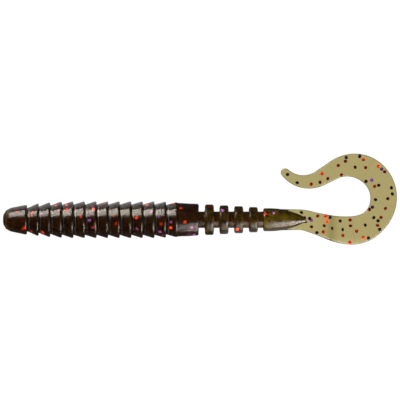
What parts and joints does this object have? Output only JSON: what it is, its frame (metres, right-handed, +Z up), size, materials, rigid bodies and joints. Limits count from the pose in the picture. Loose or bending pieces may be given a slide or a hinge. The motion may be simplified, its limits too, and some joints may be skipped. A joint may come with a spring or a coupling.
{
  "type": "ringed curl-tail soft plastic worm",
  "caption": "Soft fishing worm with a bullet nose, ringed body, disc neck and a thin flat tail curled in a loop.",
  "frame": {"origin": "middle of the small flat face on the nose, on the axis of the body", "axes": "+X from the nose along the body to the tail, +Y towards the side the tail curls to, +Z up from the table that the worm lies on"},
  "size_m": [0.1001, 0.0231, 0.0092],
  "materials": {
    "body_vinyl": "gloss",
    "tail_vinyl": "gloss"
  },
  "bodies": {
    "nose": {"nose": "body_vinyl"},
    "ring_01": {"groove_web_01": "body_vinyl", "ring_01": "body_vinyl"},
    "ring_02": {"groove_web_02": "body_vinyl", "ring_02": "body_vinyl"},
    "ring_03": {"groove_web_03": "body_vinyl", "ring_03": "body_vinyl"},
    "ring_04": {"groove_web_04": "body_vinyl", "ring_04": "body_vinyl"},
    "ring_05": {"groove_web_05": "body_vinyl", "ring_05": "body_vinyl"},
    "ring_06": {"groove_web_06": "body_vinyl", "ring_06": "body_vinyl"},
    "ring_07": {"groove_web_07": "body_vinyl", "ring_07": "body_vinyl"},
    "ring_08": {"groove_web_08": "body_vinyl", "ring_08": "body_vinyl"},
    "ring_09": {"groove_web_09": "body_vinyl", "ring_09": "body_vinyl"},
    "ring_10": {"groove_web_10": "body_vinyl", "ring_10": "body_vinyl"},
    "ring_11": {"groove_web_11": "body_vinyl", "ring_11": "body_vinyl"},
    "ring_12": {"groove_web_12": "body_vinyl", "ring_12": "body_vinyl"},
    "barrel": {"groove_web_13": "body_vinyl", "ring_13": "body_vinyl", "barrel": "body_vinyl"},
    "disc_1": {"stem_web_1": "body_vinyl", "disc_1": "body_vinyl"},
    "disc_2": {"stem_web_2": "body_vinyl", "disc_2": "body_vinyl"},
    "disc_3": {"stem_web_3": "body_vinyl", "disc_3": "body_vinyl"},
    "disc_4": {"stem_web_4": "body_vinyl", "disc_4": "body_vinyl"},
    "tail_root": {"stem_web_5": "body_vinyl", "tail_root": "tail_vinyl"},
    "tail_stalk": {"tail_web_1": "tail_vinyl", "tail_stalk": "tail_vinyl"},
    "tail_shoulder": {"tail_web_2": "tail_vinyl", "tail_shoulder": "tail_vinyl"},
    "tail_bend": {"tail_web_3": "tail_vinyl", "tail_bend": "tail_vinyl"},
    "tail_crook": {"tail_web_4": "tail_vinyl", "tail_crook": "tail_vinyl"},
    "tail_tip": {"tail_web_5": "tail_vinyl", "tail_tip": "tail_vinyl"}
  },
  "joints": [
    {"name": "groove_01", "type": "hinge", "parent": "nose", "child": "ring_01", "pos_m": [0.0063, 0, 0], "axis": [0.0017, 0, 1], "range_deg": [-6, 6], "stiffness_Nm_per_rad": 0.0038, "deforming": ["groove_web_01"]},
    {"name": "groove_02", "type": "hinge", "parent": "ring_01", "child": "ring_02", "pos_m": [0.00924, 0, 0], "axis": [0.0017, -1, 0], "range_deg": [0, 6], "stiffness_Nm_per_rad": 0.006, "deforming": ["groove_web_02"]},
    {"name": "groove_03", "type": "hinge", "parent": "ring_02", "child": "ring_03", "pos_m": [0.01218, 0, 0], "axis": [0.0017, 0, 1], "range_deg": [-6, 6], "stiffness_Nm_per_rad": 0.0082, "deforming": ["groove_web_03"]},
    {"name": "groove_04", "type": "hinge", "parent": "ring_03", "child": "ring_04", "pos_m": [0.01512, 0, 0], "axis": [0.0017, -1, 0], "range_deg": [0, 6], "stiffness_Nm_per_rad": 0.0097, "deforming": ["groove_web_04"]},
    {"name": "groove_05", "type": "hinge", "parent": "ring_04", "child": "ring_05", "pos_m": [0.01806, 0, 0], "axis": [0.0017, 0, 1], "range_deg": [-6, 6], "stiffness_Nm_per_rad": 0.01, "deforming": ["groove_web_05"]},
    {"name": "groove_06", "type": "hinge", "parent": "ring_05", "child": "ring_06", "pos_m": [0.021, 0, 0], "axis": [0.0017, -1, 0], "range_deg": [0, 6], "stiffness_Nm_per_rad": 0.01, "deforming": ["groove_web_06"]},
    {"name": "groove_07", "type": "hinge", "parent": "ring_06", "child": "ring_07", "pos_m": [0.02394, 0, 0], "axis": [0.0017, 0, 1], "range_deg": [-6, 6], "stiffness_Nm_per_rad": 0.01, "deforming": ["groove_web_07"]},
    {"name": "groove_08", "type": "hinge", "parent": "ring_07", "child": "ring_08", "pos_m": [0.02688, 0, 0], "axis": [0.0017, -1, 0], "range_deg": [0, 6], "stiffness_Nm_per_rad": 0.01, "deforming": ["groove_web_08"]},
    {"name": "groove_09", "type": "hinge", "parent": "ring_08", "child": "ring_09", "pos_m": [0.02982, 0, 0], "axis": [0.0017, 0, 1], "range_deg": [-6, 6], "stiffness_Nm_per_rad": 0.01, "deforming": ["groove_web_09"]},
    {"name": "groove_10", "type": "hinge", "parent": "ring_09", "child": "ring_10", "pos_m": [0.03276, 0, 0], "axis": [0.0017, -1, 0], "range_deg": [0, 6], "stiffness_Nm_per_rad": 0.01, "deforming": ["groove_web_10"]},
    {"name": "groove_11", "type": "hinge", "parent": "ring_10", "child": "ring_11", "pos_m": [0.0357, 0, 0], "axis": [0.0017, 0, 1], "range_deg": [-6, 6], "stiffness_Nm_per_rad": 0.01, "deforming": ["groove_web_11"]},
    {"name": "groove_12", "type": "hinge", "parent": "ring_11", "child": "ring_12", "pos_m": [0.03864, 0, 0], "axis": [0.0017, -1, 0], "range_deg": [0, 6], "stiffness_Nm_per_rad": 0.01, "deforming": ["groove_web_12"]},
    {"name": "groove_13", "type": "hinge", "parent": "ring_12", "child": "barrel", "pos_m": [0.04158, 0, 0], "axis": [0.0017, 0, 1], "range_deg": [-6, 6], "stiffness_Nm_per_rad": 0.0091, "deforming": ["groove_web_13"]},
    {"name": "stem_1", "type": "hinge", "parent": "barrel", "child": "disc_1", "pos_m": [0.05037, 0, 0], "axis": [0.0017, 0, 1], "range_deg": [-20, 20], "stiffness_Nm_per_rad": 0.001, "deforming": ["stem_web_1"]},
    {"name": "stem_2", "type": "hinge", "parent": "disc_1", "child": "disc_2", "pos_m": [0.05418, 0, 0], "axis": [0.0017, -1, 0], "range_deg": [0, 20], "stiffness_Nm_per_rad": 0.0011, "deforming": ["stem_web_2"]},
    {"name": "stem_3", "type": "hinge", "parent": "disc_2", "child": "disc_3", "pos_m": [0.0579, 0, 0], "axis": [0.0017, 0, 1], "range_deg": [-20, 20], "stiffness_Nm_per_rad": 0.0011, "deforming": ["stem_web_3"]},
    {"name": "stem_4", "type": "hinge", "parent": "disc_3", "child": "disc_4", "pos_m": [0.06162, 0, 0], "axis": [0.0017, -1, 0], "range_deg": [0, 20], "stiffness_Nm_per_rad": 0.0011, "deforming": ["stem_web_4"]},
    {"name": "stem_5", "type": "hinge", "parent": "disc_4", "child": "tail_root", "pos_m": [0.06533, 0, 0], "axis": [0.0017, 0, 1], "range_deg": [-20, 20], "stiffness_Nm_per_rad": 0.0011, "deforming": ["stem_web_5"]},
    {"name": "tail_1", "type": "hinge", "parent": "tail_root", "child": "tail_stalk", "pos_m": [0.07893, -0.0008, 0], "axis": [0.0017, 0, 1], "range_deg": [-15, 15], "stiffness_Nm_per_rad": 0.00017, "deforming": ["tail_web_1"]},
    {"name": "tail_2", "type": "hinge", "parent": "tail_stalk", "child": "tail_shoulder", "pos_m": [0.09058, -0.00247, -0.00414], "axis": [0.0017, 0, 1], "range_deg": [-45, 4], "stiffness_Nm_per_rad": 0.00042, "deforming": ["tail_web_2"]},
    {"name": "tail_3", "type": "hinge", "parent": "tail_shoulder", "child": "tail_bend", "pos_m": [0.09673, 0.00555, -0.00414], "axis": [1, 0.0017, 0], "range_deg": [0, 40], "stiffness_Nm_per_rad": 0.0000083, "deforming": ["tail_web_3"]},
    {"name": "tail_4", "type": "hinge", "parent": "tail_bend", "child": "tail_crook", "pos_m": [0.09127, 0.01334, -0.00414], "axis": [0.0017, 0, 1], "range_deg": [-45, 4], "stiffness_Nm_per_rad": 0.00036, "deforming": ["tail_web_4"]},
    {"name": "tail_5", "type": "hinge", "parent": "tail_crook", "child": "tail_tip", "pos_m": [0.08246, 0.01168, -0.00414], "axis": [-0.5015, 0.8652, 0], "range_deg": [0, 45], "stiffness_Nm_per_rad": 0.0000043, "deforming": ["tail_web_5"]}
  ]
}
